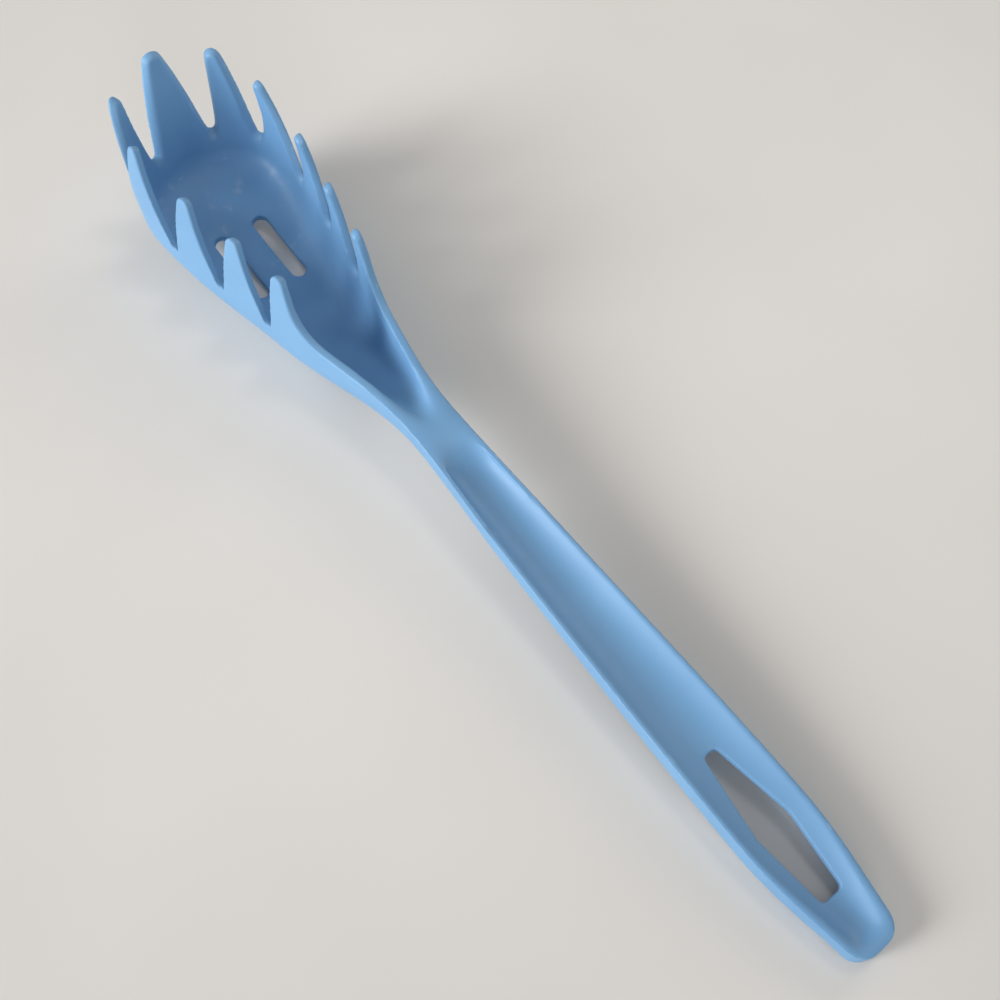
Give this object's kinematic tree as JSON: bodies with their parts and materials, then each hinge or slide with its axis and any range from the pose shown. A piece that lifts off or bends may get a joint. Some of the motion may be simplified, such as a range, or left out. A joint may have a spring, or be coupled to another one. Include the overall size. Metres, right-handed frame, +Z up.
{
  "type": "pasta server",
  "caption": "Pasta server with a deep narrow scoop edged by upright tines, two drain slots in its floor, a waisted neck and a dished handle with a long hanging hole.",
  "frame": {"origin": "on the surface that the server lies on, under the middle of its bounding box", "axes": "+X runs from the tines to the end of the handle, +Z is up out of the bowl, and the XZ plane is the mirror plane"},
  "size_m": [0.291, 0.046, 0.048],
  "materials": {
    "plastic": "satin"
  },
  "bodies": {
    "root": {"bowl": "plastic", "neck": "plastic", "handle": "plastic", "hanging_end": "plastic", "front_tine": "plastic", "left_tine_1": "plastic", "left_tine_2": "plastic", "left_tine_3": "plastic", "left_tine_4": "plastic", "left_tine_5": "plastic", "right_tine_1": "plastic", "right_tine_2": "plastic", "right_tine_3": "plastic", "right_tine_4": "plastic", "right_tine_5": "plastic"}
  },
  "joints": []
}
